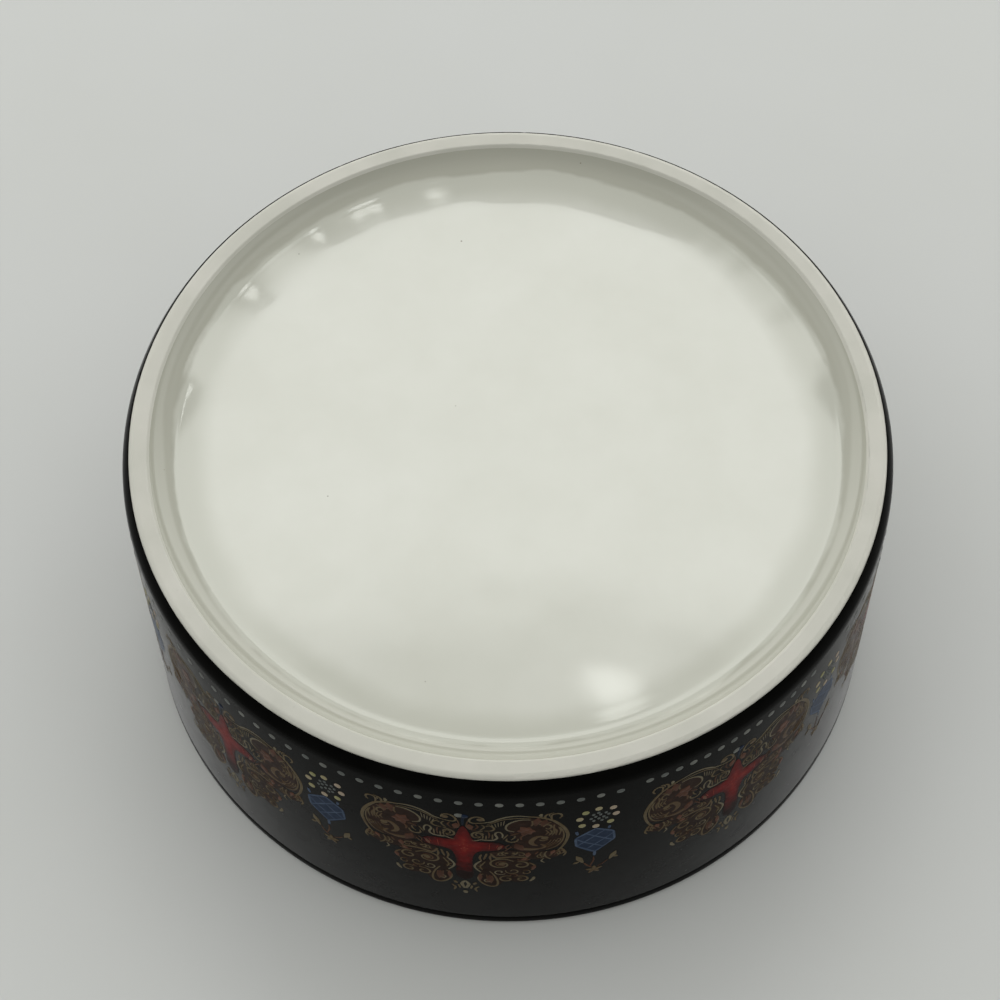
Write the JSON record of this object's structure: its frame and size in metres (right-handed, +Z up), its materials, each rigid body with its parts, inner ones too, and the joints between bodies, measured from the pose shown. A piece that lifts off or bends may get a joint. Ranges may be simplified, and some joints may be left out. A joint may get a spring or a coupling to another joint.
{
  "type": "lidded round box",
  "caption": "Round porcelain box with a lift-off lid and a recessed foot, its black enamelled wall printed with scrolled cartouches and beads.",
  "frame": {"origin": "centre of the lid's face on the table, at the lowest point of the standing box", "axes": "+Z up in the stored pose, which is upside down: from the lid's face on the table to the foot ring on top. For normal use turn the part 180 degrees about X. -Y is the side that the picture shows."},
  "size_m": [0.1002, 0.1002, 0.0446],
  "materials": {
    "porcelain": "matt unglazed porcelain, white",
    "clear_glaze": "glossy clear glaze on white porcelain",
    "black_enamel": "satin black enamel",
    "gold_print": "satin gold print",
    "brown_print": "satin brown print",
    "red_print": "satin red print",
    "blue_print": "satin blue print",
    "silver_print": "satin silver grey print",
    "cream_print": "satin cream print"
  },
  "bodies": {
    "lid": {"lid_plate": "porcelain", "lid_enamel": "black_enamel", "lid_border": "gold_print", "lid_rosette": "red_print", "lid_star": "gold_print"},
    "box": {"box_body": "porcelain", "base_glaze": "clear_glaze", "wall_enamel": "black_enamel", "dot_row_1": "silver_print", "cartouche_1": "brown_print", "cross_1": "red_print", "shield_1": "blue_print", "medallion_1": "cream_print", "dot_row_2": "silver_print", "cartouche_2": "brown_print", "cross_2": "red_print", "shield_2": "blue_print", "medallion_2": "cream_print", "dot_row_3": "silver_print", "cartouche_3": "brown_print", "cross_3": "red_print", "shield_3": "blue_print", "medallion_3": "cream_print", "dot_row_4": "silver_print", "cartouche_4": "brown_print", "cross_4": "red_print", "shield_4": "blue_print", "medallion_4": "cream_print", "dot_row_5": "silver_print", "cartouche_5": "brown_print", "cross_5": "red_print", "shield_5": "blue_print", "medallion_5": "cream_print", "dot_row_6": "silver_print", "cartouche_6": "brown_print", "cross_6": "red_print", "shield_6": "blue_print", "medallion_6": "cream_print", "dot_row_7": "silver_print", "cartouche_7": "brown_print", "cross_7": "red_print", "shield_7": "blue_print", "medallion_7": "cream_print", "dot_row_8": "silver_print", "cartouche_8": "brown_print", "cross_8": "red_print", "shield_8": "blue_print", "medallion_8": "cream_print", "dot_row_9": "silver_print", "cartouche_9": "brown_print", "cross_9": "red_print", "shield_9": "blue_print", "medallion_9": "cream_print"}
  },
  "joints": [
    {"name": "lid_lift", "type": "slide", "parent": "lid", "child": "box", "axis": [0, 0, 1], "range_m": [0, 0.06]}
  ]
}
